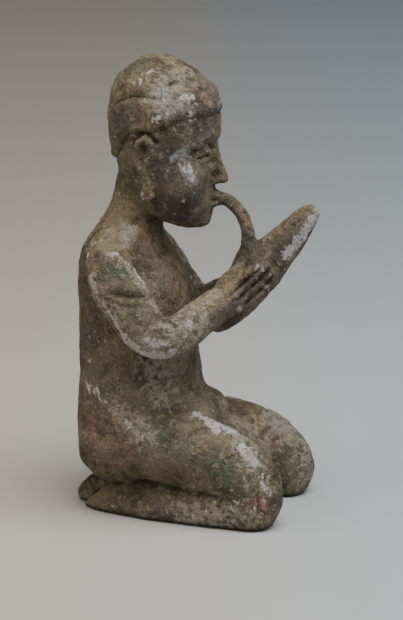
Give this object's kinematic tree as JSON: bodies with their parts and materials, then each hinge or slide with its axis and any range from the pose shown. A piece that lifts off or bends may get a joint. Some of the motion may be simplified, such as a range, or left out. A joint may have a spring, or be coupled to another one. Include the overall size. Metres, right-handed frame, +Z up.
{
  "type": "stucco kneeling figure",
  "caption": "Stucco figure of a kneeling musician, seated on its heels, blowing a curved pipe into a leaf-shaped mouth organ held up in both hands.",
  "frame": {"origin": "centre of the bounding box in plan, on the flat underside that the figure stands on", "axes": "+Z up; the figure faces -Y; its left hand is on +X"},
  "size_m": [0.1296, 0.1614, 0.2998],
  "materials": {
    "stucco": "matte"
  },
  "bodies": {
    "root": {"kneeling_figure": "stucco"}
  },
  "joints": []
}
